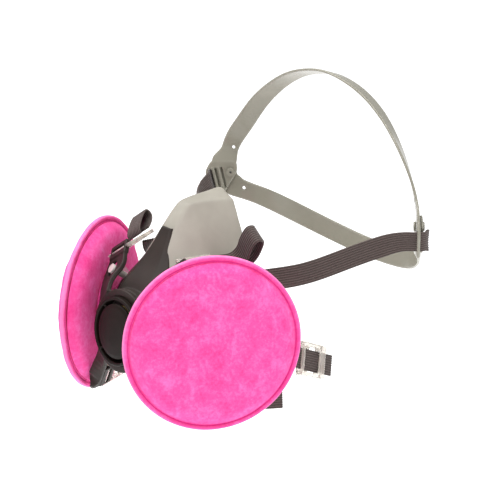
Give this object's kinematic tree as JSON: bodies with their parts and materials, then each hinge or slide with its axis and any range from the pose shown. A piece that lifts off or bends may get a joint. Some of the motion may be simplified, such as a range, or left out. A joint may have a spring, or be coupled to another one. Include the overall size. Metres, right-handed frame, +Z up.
{
  "type": "half-mask respirator",
  "caption": "Reusable half-mask respirator with elastomer facepiece, exhalation valve, bayonet pancake filters, hard harness yoke, buckled elastic straps and moulded head cradle.",
  "frame": {"origin": "middle of the face opening, on the plane where the facepiece meets the face", "axes": "+Z up, the wearer faces -Y, +X is the wearer's left"},
  "size_m": [0.1985, 0.2372, 0.1855],
  "materials": {
    "seal_elastomer": "matte",
    "frame_plastic": "satin",
    "valve_rubber": "matte",
    "cradle_plastic": "glossy",
    "clear_plastic": "glossy",
    "post_plastic": "glossy",
    "webbing": "woven",
    "filter_media": "fibrous",
    "hub_plastic": "satin"
  },
  "bodies": {
    "facepiece": {"face_seal": "seal_elastomer", "front_frame": "frame_plastic", "exhalation_cover": "frame_plastic", "exhalation_seat": "frame_plastic", "harness_yoke": "frame_plastic", "crown_band": "cradle_plastic", "rear_band": "cradle_plastic", "left_port": "frame_plastic", "left_port_ring": "frame_plastic", "left_port_gasket": "valve_rubber", "left_yoke_post": "post_plastic", "left_upper_elastic": "webbing", "left_cradle_stud": "cradle_plastic", "right_port": "frame_plastic", "right_port_ring": "frame_plastic", "right_port_gasket": "valve_rubber", "right_yoke_post": "post_plastic", "right_upper_elastic": "webbing", "right_cradle_stud": "cradle_plastic"},
    "exhalation_flap": {"exhalation_flap": "valve_rubber"},
    "left_filter": {"left_filter_hub": "hub_plastic", "left_filter_front": "filter_media", "left_filter_back": "filter_media", "left_filter_rim": "filter_media", "left_filter_spacer": "hub_plastic"},
    "left_inhalation_flap": {"left_inhalation_flap": "valve_rubber"},
    "left_upper_buckle": {"left_upper_buckle": "clear_plastic", "left_upper_tail": "webbing"},
    "left_lower_strap": {"left_lower_buckle": "clear_plastic", "left_lower_elastic": "webbing", "left_neck_clasp": "clear_plastic"},
    "right_filter": {"right_filter_hub": "hub_plastic", "right_filter_front": "filter_media", "right_filter_back": "filter_media", "right_filter_rim": "filter_media", "right_filter_spacer": "hub_plastic"},
    "right_inhalation_flap": {"right_inhalation_flap": "valve_rubber"},
    "right_upper_buckle": {"right_upper_buckle": "clear_plastic", "right_upper_tail": "webbing"},
    "right_lower_strap": {"right_lower_buckle": "clear_plastic", "right_lower_elastic": "webbing", "right_neck_clasp": "clear_plastic"}
  },
  "joints": [
    {"name": "exhalation_flap_lift", "type": "slide", "parent": "facepiece", "child": "exhalation_flap", "axis": [0, -0.9945, 0.1045], "range_m": [0, 0.0012], "stiffness_N_per_m": 15, "springref_m": -0.0006},
    {"name": "left_filter_twist", "type": "hinge", "parent": "facepiece", "child": "left_filter", "pos_m": [0.053, -0.0466, -0.012], "axis": [0.8894, -0.4571, 0], "range_deg": [0, 60]},
    {"name": "left_inhalation_flap_lift", "type": "slide", "parent": "facepiece", "child": "left_inhalation_flap", "axis": [-0.8894, 0.4571, 0], "range_m": [0, 0.0012], "stiffness_N_per_m": 15, "springref_m": -0.0006},
    {"name": "left_upper_buckle_tilt", "type": "hinge", "parent": "facepiece", "child": "left_upper_buckle", "pos_m": [0.031, -0.0479, 0.0251], "axis": [0.8271, -0.0908, -0.5547], "range_deg": [0, 12]},
    {"name": "left_lower_strap_swing", "type": "hinge", "parent": "facepiece", "child": "left_lower_strap", "pos_m": [0.034, -0.057, -0.0505], "axis": [0.5301, 0.115, -0.8401], "range_deg": [-3, 12]},
    {"name": "right_filter_twist", "type": "hinge", "parent": "facepiece", "child": "right_filter", "pos_m": [-0.053, -0.0466, -0.012], "axis": [-0.8894, -0.4571, 0], "range_deg": [0, 60]},
    {"name": "right_inhalation_flap_lift", "type": "slide", "parent": "facepiece", "child": "right_inhalation_flap", "axis": [0.8894, 0.4571, 0], "range_m": [0, 0.0012], "stiffness_N_per_m": 15, "springref_m": -0.0006},
    {"name": "right_upper_buckle_tilt", "type": "hinge", "parent": "facepiece", "child": "right_upper_buckle", "pos_m": [-0.031, -0.0479, 0.0251], "axis": [0.8271, 0.0908, 0.5547], "range_deg": [-12, 12]},
    {"name": "right_lower_strap_swing", "type": "hinge", "parent": "facepiece", "child": "right_lower_strap", "pos_m": [-0.034, -0.057, -0.0505], "axis": [0.5301, -0.115, 0.8401], "range_deg": [-3, 12]}
  ]
}
